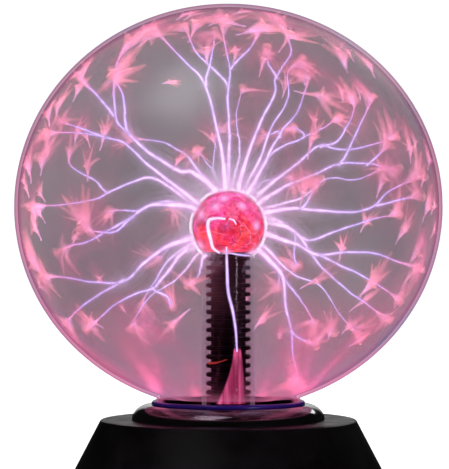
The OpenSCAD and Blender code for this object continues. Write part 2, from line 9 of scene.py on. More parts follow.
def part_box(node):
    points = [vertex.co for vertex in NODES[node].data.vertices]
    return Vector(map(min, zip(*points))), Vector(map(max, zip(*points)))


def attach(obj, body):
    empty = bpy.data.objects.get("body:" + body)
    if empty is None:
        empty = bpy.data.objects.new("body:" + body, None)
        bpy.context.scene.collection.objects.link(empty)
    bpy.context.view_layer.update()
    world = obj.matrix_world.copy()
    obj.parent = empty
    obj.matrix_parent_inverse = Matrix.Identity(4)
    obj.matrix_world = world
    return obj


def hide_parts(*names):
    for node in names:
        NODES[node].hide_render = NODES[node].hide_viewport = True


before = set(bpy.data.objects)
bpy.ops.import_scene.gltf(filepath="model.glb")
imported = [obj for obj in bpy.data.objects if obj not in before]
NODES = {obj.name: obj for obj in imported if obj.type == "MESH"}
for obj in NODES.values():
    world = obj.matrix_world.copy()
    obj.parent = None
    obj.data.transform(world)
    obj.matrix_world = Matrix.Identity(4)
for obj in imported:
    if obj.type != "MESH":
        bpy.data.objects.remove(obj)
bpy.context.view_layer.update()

# A plasma ball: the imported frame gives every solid, and this script adds the discharge inside the globe,
# the metal wool of the electrode, the materials, the light and the camera. Metres, +Z up, front towards -Y.

MM = 0.001
BODY = "housing"
SEED = 7

# ---- Places taken from the frame ----

globe_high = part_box("glass_globe")[1]
stem_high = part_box("glass_stem")[1]
wool_low, wool_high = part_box("electrode_wool")
ring_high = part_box("neck_ring")[1]
# Half the globe's width and height, and where its middle is; its wall, and the gap to the film inside it.
GLOBE_A = globe_high.x
GLOBE_FLATNESS = 0.947
GLOBE_B = GLOBE_A * GLOBE_FLATNESS
CENTRE = Vector((0, 0, globe_high.z - GLOBE_B))
GLASS_T = 1.6 * MM
FILM_GAP = 0.6 * MM
BULB_R = wool_high.x + 1.3 * MM
BULB = Vector((0, 0, stem_high.z - BULB_R))
STEM_R = 12.3 * MM
STEM_TOP = wool_low.z

# The camera looks at AIM from that far away, down by that angle; AHEAD, ABOVE are its own forward and up.
AIM = Vector((-1.8 * MM, 0, CENTRE.z - 13.0 * MM))
CAMERA_AWAY = 1.22
LOOK_DOWN = math.radians(0.3)
AHEAD = Vector((0, math.cos(LOOK_DOWN), -math.sin(LOOK_DOWN)))
ABOVE = Vector((0, math.sin(LOOK_DOWN), math.cos(LOOK_DOWN)))

# ---- Small helpers for geometry ----


def link(obj):
    bpy.context.scene.collection.objects.link(obj)
    return obj


def mesh_object(name, verts, faces, smooth=True):
    mesh = bpy.data.meshes.new(name)
    mesh.from_pydata([tuple(v) for v in verts], [], faces)
    mesh.update()
    if smooth:
        mesh.polygons.foreach_set("use_smooth", [True] * len(mesh.polygons))
    return link(bpy.data.objects.new(name, mesh))


def grid_faces(rows, columns):
    """The faces between rows + 1 lines of columns + 1 points each."""
    corners = [i * (columns + 1) + k for i in range(rows) for k in range(columns)]
    return [(a, a + 1, a + columns + 2, a + columns + 1) for a in corners]


def float_attribute(obj, name, values):
    attribute = obj.data.attributes.new(name, "FLOAT", "POINT")
    attribute.data.foreach_set("value", np.asarray(values, np.float32))


def on_glass(direction, gap=FILM_GAP):
    """The point just inside the globe's wall in that direction from its centre."""
    a = GLOBE_A - GLASS_T - gap
    b = GLOBE_B - GLASS_T - gap
    d = direction.normalized()
    return CENTRE + d / math.sqrt((d.x * d.x + d.y * d.y) / (a * a) + d.z * d.z / (b * b))


def bezier(a, b, c, d, t):
    s = 1 - t
    return a * s**3 + b * (3 * s * s * t) + c * (3 * s * t * t) + d * t**3


def smooth_through(points, steps):
    """A curve through given points, by Catmull-Rom."""
    padded = [points[0] * 2 - points[1], *points, points[-1] * 2 - points[-2]]
    path = []
    for i in range(1, len(padded) - 2):
        p, q, r, s = padded[i - 1 : i + 3]
        for k in range(steps):
            t = k / steps
            second = (2 * p - 5 * q + 4 * r - s) * t * t
            third = (3 * q - p - 3 * r + s) * t**3
            path.append(0.5 * (2 * q + (r - p) * t + second + third))
    path.append(points[-1])
    return path


class Tubes:
    """Collects round tubes along paths into one mesh, with a number that each vertex carries."""

    def __init__(self, sides):
        self.sides = sides
        self.verts = []
        self.faces = []
        self.marks = []

    def add(self, path, radii, marks):
        base = len(self.verts)
        side = None
        for i, point in enumerate(path):
            ahead = path[min(i + 1, len(path) - 1)] - path[max(i - 1, 0)]
            along = ahead.normalized() if ahead.length > 0 else Vector((0, 0, 1))
            if side is None:
                side = along.orthogonal().normalized()
            side = (side - along * side.dot(along)).normalized()
            up = along.cross(side)
            for k in range(self.sides):
                turn = 2 * math.pi * k / self.sides
                spoke = side * math.cos(turn) + up * math.sin(turn)
                self.verts.append(point + spoke * radii[i])
                self.marks.append(marks[i])
        for i in range(len(path) - 1):
            for k in range(self.sides):
                row = base + i * self.sides
                above = row + self.sides
                after = (k + 1) % self.sides
                self.faces.append((row + k, row + after, above + after, above + k))
        last = base + (len(path) - 1) * self.sides
        self.faces.append(tuple(base + k for k in reversed(range(self.sides))))
        self.faces.append(tuple(last + k for k in range(self.sides)))

    def build(self, name, mat):
        obj = mesh_object(name, self.verts, self.faces)
        float_attribute(obj, "along", self.marks)
        obj.data.materials.append(mat)
        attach(obj, BODY)
        return obj


# ---- Small helpers for materials ----


class Shade:
    """A new node material and short calls that add nodes to it."""

    def __init__(self, name):
        self.start(bpy.data.materials.new(name), "ShaderNodeOutputMaterial", "Object")

    def start(self, mat, output, coordinates):
        self.mat = mat
        self.coordinates = coordinates
        mat.use_nodes = True
        self.tree = mat.node_tree
        self.tree.nodes.clear()
        self.out = self.tree.nodes.new(output)

    def node(self, kind, **inputs):
        made = self.tree.nodes.new(kind)
        for key, value in inputs.items():
            self.put(made.inputs[key.replace("_", " ")], value)
        return made

    def put(self, socket, value):
        if isinstance(value, bpy.types.NodeSocket):
            self.tree.links.new(value, socket)
        else:
            socket.default_value = value

    def place(self):
        return self.node("ShaderNodeTexCoord").outputs[self.coordinates]

    def stretched(self, scale):
        mapping = self.node("ShaderNodeMapping", Vector=self.place())
        mapping.inputs["Scale"].default_value = scale
        return mapping.outputs["Vector"]

    def noise(self, scale, detail=3.0, rough=0.5, vector=None, distortion=0.0):
        made = self.node("ShaderNodeTexNoise", Scale=scale, Detail=detail, Roughness=rough)
        made.inputs["Distortion"].default_value = distortion
        self.put(made.inputs["Vector"], vector or self.place())
        return made.outputs["Fac"]

    def ramp(self, factor, stops):
        made = self.node("ShaderNodeValToRGB", Fac=factor)
        band = made.color_ramp
        while len(band.elements) < len(stops):
            band.elements.new(0.5)
        for element, (at, colour) in zip(band.elements, stops):
            element.position = at
            element.color = (*colour, 1) if len(colour) == 3 else colour
        return made.outputs["Color"]

    def span(self, factor, low, high, to_low=0.0, to_high=1.0):
        made = self.node("ShaderNodeMapRange", Value=factor)
        made.inputs["From Min"].default_value = low
        made.inputs["From Max"].default_value = high
        made.inputs["To Min"].default_value = to_low
        made.inputs["To Max"].default_value = to_high
        return made.outputs["Result"]

    def math(self, operation, *values):
        made = self.node("ShaderNodeMath")
        made.operation = operation
        for socket, value in zip(made.inputs, values):
            self.put(socket, value)
        return made.outputs[0]

    def axis(self, which):
        split = self.node("ShaderNodeSeparateXYZ", Vector=self.place())
        return split.outputs[which]

    def vector(self, operation, a, b=(0, 0, 0)):
        made = self.node("ShaderNodeVectorMath")
        made.operation = operation
        self.put(made.inputs[0], a)
        self.put(made.inputs[1], b)
        return made.outputs["Value" if operation == "LENGTH" else "Vector"]

    def reach(self, centre, half_size):
        """How far a point is from centre, where 1 is the surface of the round shape of that half size."""
        away = self.vector("SUBTRACT", self.place(), tuple(centre))
        return self.vector("LENGTH", self.vector("DIVIDE", away, half_size))

    def bump(self, height, strength, distance):
        made = self.node("ShaderNodeBump", Height=height, Strength=strength, Distance=distance)
        return made.outputs["Normal"]

    def facing(self, blend=0.5):
        return self.node("ShaderNodeLayerWeight", Blend=blend).outputs["Facing"]

    def blend(self, factor, a, b):
        """The colour that lies that far from a to b."""
        made = self.node("ShaderNodeMix")
        made.data_type = "RGBA"
        self.put(made.inputs["Factor"], factor)
        self.put(made.inputs["A"], a)
        self.put(made.inputs["B"], b)
        return made.outputs["Result"]

    def clear(self, colour=(1, 1, 1, 1)):
        return self.node("ShaderNodeBsdfTransparent", Color=colour).outputs[0]

    def glow(self, colour, strength):
        """Light of its own, which isn't sampled as a lamp."""
        self.mat.cycles.emission_sampling = "NONE"
        return self.node("ShaderNodeEmission", Color=colour, Strength=strength).outputs[0]

    def mix(self, factor, a, b):
        made = self.node("ShaderNodeMixShader", Fac=factor)
        self.put(made.inputs[1], a)
        self.put(made.inputs[2], b)
        return made.outputs[0]

    def attribute(self, name):
        made = self.node("ShaderNodeAttribute")
        made.attribute_name = name
        return made.outputs["Fac"]

    def finish(self, surface):
        self.put(self.out.inputs["Surface"], surface)
        return self.mat


class Sky(Shade):
    """The same short calls for the world's nodes."""

    def __init__(self, name):
        self.start(bpy.data.worlds.new(name), "ShaderNodeOutputWorld", "Generated")


def moulded(name, colour, rough, grain=1400.0, depth=0.05, spread=0.35, spec=0.4, ior=1.45):
    """Moulded plastic or rubber: fine surface grain, faint cloudy colour and uneven gloss."""
    s = Shade(name)
    cloud = s.noise(45.0, 4.0, 0.6)
    fine = s.noise(grain, 2.0, 0.5)
    dark = tuple(c * (1 - spread) for c in colour)
    light = tuple(min(c * (1 + spread) + 0.002, 1) for c in colour)
    tone = s.ramp(cloud, [(0.3, dark), (0.7, light)])
    gloss = s.span(s.noise(90.0, 5.0, 0.65), 0.3, 0.7, rough * 0.8, min(rough * 1.25, 1))
    shader = s.node("ShaderNodeBsdfPrincipled", Base_Color=tone, Roughness=gloss)
    shader.inputs["Specular IOR Level"].default_value = spec
    shader.inputs["IOR"].default_value = ior
    s.put(shader.inputs["Normal"], s.bump(fine, depth, 0.2 * MM))
    return s.finish(shader.outputs[0])


def metal(name, colour, rough, stretch=(60, 900, 900), depth=0.08):
    """Drawn or brushed metal: fine streaks along one axis in its gloss, tone and surface."""
    s = Shade(name)
    streak = s.noise(1.0, 3.0, 0.6, s.stretched(stretch))
    tone = s.ramp(streak, [(0.25, tuple(c * 0.72 for c in colour)), (0.75, colour)])
    gloss = s.span(streak, 0.3, 0.7, rough * 0.7, rough * 1.35)
    shader = s.node("ShaderNodeBsdfPrincipled", Base_Color=tone, Roughness=gloss, Metallic=1.0)
    s.put(shader.inputs["Normal"], s.bump(streak, depth, 0.1 * MM))
    return s.finish(shader.outputs[0])


def wound(name, colour):
    """Close turns of enamelled wire on an axle along X."""
    s = Shade(name)
    wave = s.node("ShaderNodeTexWave", Vector=s.place(), Scale=620.0, Distortion=0.6)
    wave.bands_direction = "X"
    line = wave.outputs["Fac"]
    tone = s.ramp(line, [(0.2, tuple(c * 0.35 for c in colour)), (0.8, colour)])
    shader = s.node("ShaderNodeBsdfPrincipled", Base_Color=tone, Roughness=0.3, Metallic=0.8)
    s.put(shader.inputs["Normal"], s.bump(line, 0.7, 0.15 * MM))
    return s.finish(shader.outputs[0])


def banded(name, ground, bands):
    """A lacquered body with printed bands across X, each (place along X in metres, half width, colour)."""
    s = Shade(name)
    x = s.axis("X")
    tone = s.ramp(s.noise(300.0), [(0.3, tuple(c * 0.8 for c in ground)), (0.7, ground)])
    for at, half, colour in bands:
        near = s.math("LESS_THAN", s.math("ABSOLUTE", s.math("SUBTRACT", x, at)), half)
        tone = s.blend(near, tone, (*colour, 1))
    shader = s.node("ShaderNodeBsdfPrincipled", Base_Color=tone, Roughness=0.3)
    s.put(shader.inputs["Normal"], s.bump(s.noise(500.0), 0.15, 0.1 * MM))
    return s.finish(shader.outputs[0])


def paint(names, mat):
    for name in names:
        slots = NODES[name].data.materials
        if len(slots):
            for i in range(len(slots)):
                slots[i] = mat
        else:
            slots.append(mat)


# ---- Glass ----


def globe_glass():
    """Smoky mauve glass with a painted pink glow near its edge, which ends in a painted dark line."""
    s = Shade("globe_glass")
    facing = s.facing()
    height = s.axis("Z")
    cast = s.ramp(s.noise(9.0, 3.0, 0.6), [(0.35, (0.65, 0.63, 0.655)), (0.68, (0.725, 0.71, 0.725))])
    near_foot = s.span(height, CENTRE.z - 0.42 * GLOBE_B, CENTRE.z - 0.85 * GLOBE_B)
    cast = s.blend(near_foot, cast, (0.70, 0.61, 0.67, 1))
    # Painted shade: towards the outline the see-through colour turns darker and more violet, a dark line
    # along the globe's edge.
    clear = s.clear(s.blend(s.span(facing, 0.80, 0.93), cast, (0.50, 0.42, 0.54, 1)))
    # Painted glow: pink light on the outer wall towards the outline, stronger low down and weaker again at
    # the very edge.
    cloud = s.noise(16.0, 3.0, 0.6)
    tone = s.ramp(cloud, [(0.36, (0.42, 0.30, 0.52)), (0.50, (0.90, 0.20, 0.42)), (0.66, (1.0, 0.24, 0.44))])
    skin = 1 - 0.5 * GLASS_T / GLOBE_A
    outer = s.math("GREATER_THAN", s.reach(CENTRE, (GLOBE_A, GLOBE_A, GLOBE_B)), skin)
    low = s.span(height, CENTRE.z + 0.5 * GLOBE_B, CENTRE.z - 0.6 * GLOBE_B, 0.5, 1.0)
    lit = s.math("MULTIPLY", s.span(facing, 0.62, 0.90, 0.0, 0.42), s.math("MULTIPLY", outer, low))
    lit = s.math("MULTIPLY", lit, s.span(facing, 0.90, 0.95, 1.0, 0.35))
    gloss = s.node("ShaderNodeBsdfGlossy", Roughness=0.30).outputs[0]
    share = s.span(s.math("POWER", facing, 5.0), 0.0, 1.0, 0.023, 0.09)
    upper = s.span(height, CENTRE.z - 0.1 * GLOBE_B, CENTRE.z + 0.2 * GLOBE_B)
    glass = s.mix(s.math("MULTIPLY", s.math("MULTIPLY", outer, upper), share), clear, gloss)
    return s.finish(s.mix(lit, glass, s.glow(tone, 1.0)))


def stem_glass():
    """Clear tube with a painted pale glow at its edges, and a brighter painted glow at the bulb's edge,
    where the discharge starts.
    """
    s = Shade("stem_glass")
    facing = s.facing()
    bulb = s.span(s.axis("Z"), STEM_TOP - 3.0 * MM, STEM_TOP)
    gloss = s.node("ShaderNodeBsdfGlossy", Roughness=0.05).outputs[0]
    share = s.span(s.math("POWER", facing, 4.0), 0.0, 1.0, 0.02, 0.2)
    glass = s.mix(share, s.clear((0.96, 0.94, 0.96, 1)), gloss)
    # Painted glow: the tube turns a pale mauve light towards its outline, and the bulb's outer skin a
    # pink-white light towards its edge.
    tone = s.ramp(s.noise(140.0, 3.0, 0.6), [(0.3, (1.0, 0.66, 0.92)), (0.6, (1.0, 0.96, 1.0))])
    tube = s.mix(s.span(facing, 0.55, 1.0, 0.0, 0.5), glass, s.glow((0.66, 0.5, 0.62, 1), 1.0))
    skin = s.math("GREATER_THAN", s.reach(BULB, (BULB_R, BULB_R, BULB_R)), 1 - 0.4 * MM / BULB_R)
    lit = s.mix(s.math("MULTIPLY", s.span(facing, 0.59, 0.76), skin), glass, s.glow(tone, 2.6))
    return s.finish(s.mix(bulb, tube, lit))


# ---- The discharge ----

rng = random.Random(SEED)
# The offsets of noise_vector have a seed of their own, which is the time of day unless it is set.
noise.seed_set(SEED)


def random_vector(size=1):
    return Vector([rng.gauss(0, size) for _ in range(3)])


# Each strand: which half of the globe it ends in (-1 front, 1 back), its strength, the places it passes as
# (angle, distance in millimetres) about the bulb's middle, and its forks as (place it leaves, half, places).
STRANDS = [
    (-1, 1.0, [(94, 20), (96, 40), (99, 66), (105, 80), (111, 101)], [(2, -1, [(96, 75), (94, 88)])]),
    (
        1, 1.0, [(91, 20), (90, 50), (90, 66), (89, 75), (91, 87), (92, 99)],
        [(3, 1, [(83, 86), (81, 97)]), (2, 1, [(96, 76), (101, 86), (102, 99)])],
    ),
    (
        -1, 1.0, [(75, 20), (75, 34), (74, 49), (71, 66), (72, 72), (70, 84), (72, 90), (76, 99)],
        [(4, -1, [(76, 76), (78, 81)])],
    ),
    (1, 0.8, [(67, 20), (65, 34), (67, 51), (65, 68), (69, 81), (66, 90)], []),
    (-1, 0.9, [(60, 22), (60, 47), (59, 60), (62, 77)], [(1, 1, [(68, 50)])]),
    (1, 0.9, [(57, 22), (60, 30), (58, 43), (50, 57), (46, 68), (45, 77)], [(3, 1, [(57, 60)])]),
    (
        1, 1.0, [(47, 20), (45, 34), (43, 49), (41, 58), (33, 66), (30, 79), (28, 93)],
        [(3, 1, [(38, 66), (41, 78), (45, 88)])],
    ),
    (
        -1, 1.0, [(37, 20), (35, 35), (31, 48), (29, 57), (24, 68), (18, 80)],
        [(3, -1, [(33, 66), (39, 79), (42, 88)]), (4, -1, [(27, 81)])],
    ),
    (
        -1, 1.0, [(20, 20), (14, 35), (6, 58), (8, 68), (13, 76), (15, 92)],
        [(3, -1, [(9, 79), (9, 88)]), (1, -1, [(27, 44)])],
    ),
    (1, 0.9, [(11, 20), (2, 27), (-9, 38), (-6, 46), (0, 58), (3, 70), (4, 84)], []),
    (
        -1, 1.0, [(-11, 19), (-14, 33), (-17, 43), (-13, 55), (-11, 69), (-12, 81), (-12, 91)],
        [(2, -1, [(-19, 56), (-20, 65), (-22, 78), (-24, 86)])],
    ),
    (
        1, 0.9, [(5, 20), (-4, 31), (-22, 46), (-26, 56), (-29, 68), (-30, 81), (-30, 91)],
        [(1, 1, [(-25, 35), (-29, 40)])],
    ),
    (
        -1, 1.1, [(-38, 19), (-40, 24), (-44, 35), (-54, 45), (-59, 56), (-63, 66), (-66, 80)],
        [(1, 1, [(-42, 35), (-46, 52), (-48, 64)]), (4, -1, [(-54, 66)])],
    ),
    (
        -1, 1.1, [(198, 20), (198, 31), (203, 42), (207, 54), (202, 68), (197, 80), (195, 90)],
        [(3, -1, [(208, 67), (209, 80), (211, 88)])],
    ),
    (
        1, 1.0, [(212, 19), (210, 26), (216, 36), (219, 46), (217, 54), (215, 67), (216, 85)],
        [(3, 1, [(229, 44), (235, 49)])],
    ),
    (1, 0.9, [(205, 20), (207, 31), (214, 42), (218, 50), (222, 58)], []),
    (-1, 0.7, [(232, 19), (237, 24), (236, 31)], []),
    (
        -1, 1.1, [(153, 20), (164, 35), (174, 43), (183, 52), (181, 65)],
        [(2, -1, [(186, 63), (187, 71), (189, 78)])],
    ),
    (1, 1.0, [(152, 20), (158, 33), (170, 46), (172, 60)], []),
    (
        1, 0.9, [(148, 21), (146, 41), (155, 50), (164, 59), (169, 66), (173, 83), (174, 95)],
        [(3, 1, [(161, 67), (159, 81), (154, 87)])],
    ),
    (
        -1, 1.0, [(143, 20), (143, 33), (142, 46), (141, 61), (144, 69), (148, 80), (153, 94)],
        [(4, -1, [(146, 80), (148, 91)])],
    ),
    (
        -1, 1.2, [(112, 20), (124, 31), (132, 35), (137, 51), (137, 63), (136, 73), (126, 89), (117, 98)],
        [(5, -1, [(135, 84), (135, 99)]), (4, -1, [(129, 77), (128, 85)])],
    ),
    (1, 0.8, [(110, 20), (117, 28), (120, 39), (126, 49), (132, 57), (138, 66)], []),
    (1, 0.6, [(100, 15), (106, 28), (112, 42)], [(1, 1, [(96, 50)])]),
    (1, 0.6, [(60, 14), (50, 30), (38, 42)], []),
    (1, 0.6, [(-20, 14), (-34, 28), (-50, 40)], []),
    (1, 0.6, [(190, 14), (196, 28), (206, 38)], []),
    (1, 0.6, [(160, 12), (150, 24), (160, 30)], []),
    (1, 0.6, [(84, 20), (82, 38), (86, 55), (84, 70)], []),
    (1, 0.6, [(27, 20), (22, 38), (25, 52), (20, 66), (21, 82)], []),
    (1, 0.55, [(-30, 20), (-36, 36), (-33, 52), (-38, 66), (-40, 82)], []),
    (1, 0.55, [(222, 20), (226, 36), (222, 52), (226, 70)], []),
]
STEP = 1.1 * MM
# How much a strand leans to its half where it leaves the bulb, and if it starts inside the bulb's outline.
ROOT_LEAN = 0.35
INNER_LEAN = 1.2


def wander(path, size):
    """The path with a slow random sway that dies out at both ends."""
    phase = Vector((rng.uniform(0, 99), rng.uniform(0, 99), rng.uniform(0, 99)))
    long = len(path) * STEP / 0.03
    swayed = []
    for i, point in enumerate(path):
        t = i / (len(path) - 1)
        hold = math.sin(math.pi * t) ** 0.7 if 0 < t < 1 else 0
        slow = noise.noise_vector(phase + Vector((t * long, 0, 0)))
        quick = noise.noise_vector(phase * 1.7 + Vector((t * long * 4, 3.1, 0)))
        swayed.append(point + (slow * size + quick * size * 0.3) * hold)
    return swayed


def in_view(turn, reach):
    """The point at that angle and distance about the bulb's middle, in the upright plane through it."""
    t = math.radians(turn)
    return BULB + (Vector((1, 0, 0)) * math.cos(t) + ABOVE * math.sin(t)) * reach * MM


def depth_of_glass(point, half, share=0.985):
    """The point, moved in to the globe's outline if need be, and how far ahead the glass of that half is."""
    inner_a = GLOBE_A - GLASS_T - FILM_GAP
    inner_b = GLOBE_B - GLASS_T - FILM_GAP
    size = Vector((inner_a, inner_a, inner_b))
    along = Vector([v / w for v, w in zip(AHEAD, size)])
    from_middle = Vector([v / w for v, w in zip(point - CENTRE, size)])
    nearest = from_middle - along * from_middle.dot(along) / along.length_squared
    if nearest.length > share:
        point = CENTRE + (point - CENTRE) * share / nearest.length
        from_middle = Vector([v / w for v, w in zip(point - CENTRE, size)])
        nearest = from_middle - along * from_middle.dot(along) / along.length_squared
    middle = -from_middle.dot(along) / along.length_squared
    return point, middle + half * math.sqrt(max(1 - nearest.length_squared, 0)) / along.length


def evenly(path, step):
    """The path with its points spaced evenly, about step apart."""
    gone = [0.0]
    for p, q in zip(path, path[1:]):
        gone.append(gone[-1] + (q - p).length)
    count = max(int(gone[-1] / step), 6)
    xyz = np.array([p[:] for p in path])
    at = np.linspace(0, gone[-1], count + 1)
    return [Vector([float(np.interp(w, gone, xyz[:, k])) for k in range(3)]) for w in at]


def curve(before, points, sway):
    """An even, swaying curve through points; before is a place it seems to come from, or None."""
    path = smooth_through([before, *points] if before else points, 10)
    return wander(evenly(path[10:] if before else path, STEP), sway)


def reach_out(first, half, places):
    """The places in space: from first's depth they move evenly towards the glass of that half."""
    flat = [in_view(*place) for place in places]
    end, deep = depth_of_glass(flat[-1], half)
    first_deep = (first - BULB).dot(AHEAD)
    near = (first - BULB - AHEAD * first_deep).length
    far = max((end - BULB).length, near + 1 * MM)
    points = []
    for point in flat[:-1]:
        share = min(max(((point - BULB).length - near) / (far - near), 0), 1)
        points.append(point + AHEAD * (first_deep + (deep - first_deep) * share**1.2))
    points.append(end + AHEAD * deep)
    return points


def strand_list():
    """Every strand as (path, strength at its start, strength at its end, whether it starts at the bulb)."""
    strands = []
    for half, power, places, forks in STRANDS:
        first = in_view(places[0][0], 1.0) - BULB
        lean = ROOT_LEAN if places[0][1] * MM > BULB_R else INNER_LEAN
        start = BULB + (first.normalized() + AHEAD * half * lean).normalized() * BULB_R
        points = [start, *reach_out(start, half, places)]
        strands.append((curve(None, points, 1.6 * MM), power, power * 0.55, True))
        for leaves, fork_half, fork_places in forks:
            root = points[leaves + 1]
            side = [root, *reach_out(root, fork_half, fork_places)]
            strands.append((curve(points[leaves], side, 1.0 * MM), power * 0.75, power * 0.5, False))
    return strands


def plasma(name, stops, strength, solid=None, patchy=False):
    """Glowing gas whose colour runs along each strand; solid is how dense it looks along it, 0 to 1."""
    s = Shade(name)
    along = s.attribute("along")
    flicker = s.span(s.noise(240.0, 2.0, 0.5), 0.3, 0.7, strength * 0.75, strength * 1.2)
    glow = s.glow(s.ramp(along, stops), flicker)
    if solid is None:
        return s.finish(glow)
    body = s.ramp(along, [(at, (v, v, v)) for at, v in solid])
    if patchy:
        broad = s.span(s.noise(34.0, 2.0, 0.5), 0.34, 0.66, 0.30, 1.15)
        feather = s.span(s.noise(420.0, 4.0, 0.65, None, 0.8), 0.30, 0.70, 0.35, 1.25)
        body = s.math("MULTIPLY", body, s.math("MULTIPLY", broad, feather))
    return s.finish(s.mix(body, s.clear(), glow))


# Colours along a strand, from the bulb (0) to the glass (1).
CORE_STOPS = [
    (0.0, (1.0, 0.86, 1.0)), (0.25, (0.90, 0.74, 1.0)), (0.75, (0.60, 0.51, 0.92)), (1.0, (1.0, 0.3, 0.52)),
]
HALO_STOPS = [
    (0.0, (1.0, 0.5, 0.95)), (0.35, (0.76, 0.48, 0.98)), (0.75, (0.55, 0.35, 0.88)), (1.0, (1.0, 0.2, 0.42)),
]
HAZE_STOPS = [(0.0, (1.0, 0.78, 1.0)), (0.5, (0.80, 0.62, 0.95)), (1.0, (0.9, 0.4, 0.7))]
# Radius of a full-strength core at the bulb and at the glass, and how much wider it is just at the bulb.
CORE_R_START = 0.50 * MM
CORE_R_END = 0.34 * MM
ROOT_FLARE = 0.9
ROOT_LENGTH = 13 * MM


def build_strands(strands):
    """The bright core of each strand, inside three soft sheaths and two wide, faint ones."""
    core = Tubes(6)
    sheaths = [(1.5, Tubes(8)), (2.3, Tubes(8)), (4.0, Tubes(10)), (7.5, Tubes(12)), (13.0, Tubes(12))]
    for path, first, last, rooted in strands:
        count = len(path)
        radii, marks = [], []
        for i in range(count):
            t = i / (count - 1)
            power = first + (last - first) * t
            flare = 1 + (ROOT_FLARE * math.exp(-i * STEP / ROOT_LENGTH) if rooted else 0)
            thin = 1 - 0.55 * max(t - 0.85, 0) / 0.15
            radius = CORE_R_END + (CORE_R_START - CORE_R_END) * (1 - t)
            radii.append(radius * power * flare * thin)
            marks.append(0.02 + 0.96 * (t if rooted else 0.4 + 0.6 * t))
        core.add(path, radii, marks)
        for scale, tubes in sheaths:
            tubes.add(path, [r * scale for r in radii], marks)
    core.build("filament_cores", plasma("plasma_core", CORE_STOPS, 3.4))
    # Name, strength, and how solid it is along the strand.
    looks = [
        ("filament_sheath_inner", 2.8, [(0.0, 0.34), (0.6, 0.34), (1.0, 0.24)]),
        ("filament_sheath_middle", 2.2, [(0.0, 0.17), (0.6, 0.17), (1.0, 0.15)]),
        ("filament_sheath_outer", 1.9, [(0.0, 0.08), (0.6, 0.07), (1.0, 0.06)]),
        ("filament_haze_inner", 1.7, [(0.0, 0.085), (0.5, 0.05), (1.0, 0.02)]),
        ("filament_haze_outer", 1.5, [(0.0, 0.07), (0.5, 0.03), (1.0, 0.01)]),
    ]
    for (_, tubes), (name, strength, solid) in zip(sheaths, looks):
        haze = "haze" in name
        tubes.build(name, plasma(f"{name}_glow", HAZE_STOPS if haze else HALO_STOPS, strength, solid, haze))


# Brushes on the front glass whose strand is too faint to see: angle and distance as in STRANDS, and size.
LONE_BRUSHES = [
    (126, 87, 1.2), (112, 95, 1.1), (99, 94, 1.0), (97, 80, 0.8), (91, 95, 0.9), (80, 94, 1.1),
    (72, 92, 1.1), (78, 76, 0.8), (54, 72, 1.2), (56, 95, 1.1), (17, 73, 0.9), (178, 66, 0.9),
    (191, 93, 1.1), (240, 51, 0.8), (-31, 46, 0.8), (-22, 70, 0.9), (-45, 66, 0.9), (-12, 90, 1.0),
    (160, 92, 1.1),
]
# How many more stand where chance puts them, all over the glass.
RANDOM_BRUSHES = 66
BRUSH_STOPS = [(0.0, (0.84, 0.46, 0.88)), (0.35, (1.0, 0.36, 0.54)), (1.0, (1.0, 0.33, 0.41))]
BRUSH_STRENGTH = 2.8


def onward(path, end):
    """The way along the glass in which a strand was going when it met it at end."""
    square = (end - CENTRE).normalized()
    going = end - path[-min(len(path), 9)] if len(path) > 1 else Vector((0, 0, 1)) + square
    going += random_vector() * going.length * 0.3
    going -= square * going.dot(square)
    return going.normalized()


def all_ends(strands):
    """Every brush as (path of its strand, size, the way it leans along the glass)."""
    ends = [(path, 0.7 + 0.35 * first, onward(path, path[-1])) for path, first, last, rooted in strands]
    for turn, reach, size in LONE_BRUSHES:
        flat, deep = depth_of_glass(in_view(turn, reach), -1)
        end = flat + AHEAD * deep
        ends.append(([end], size, onward([BULB, end], end)))
    while len(ends) < len(strands) + len(LONE_BRUSHES) + RANDOM_BRUSHES:
        out = random_vector().normalized()
        before_stem = out.y < 0 and abs(out.x) < 0.22 and out.z < 0.1
        if out.z > -0.72 and not before_stem and rng.random() > 0.7 * abs(out.y):
            end = on_glass(out)
            ends.append(([end], rng.uniform(0.35, 0.8), onward([end], end)))
    return ends


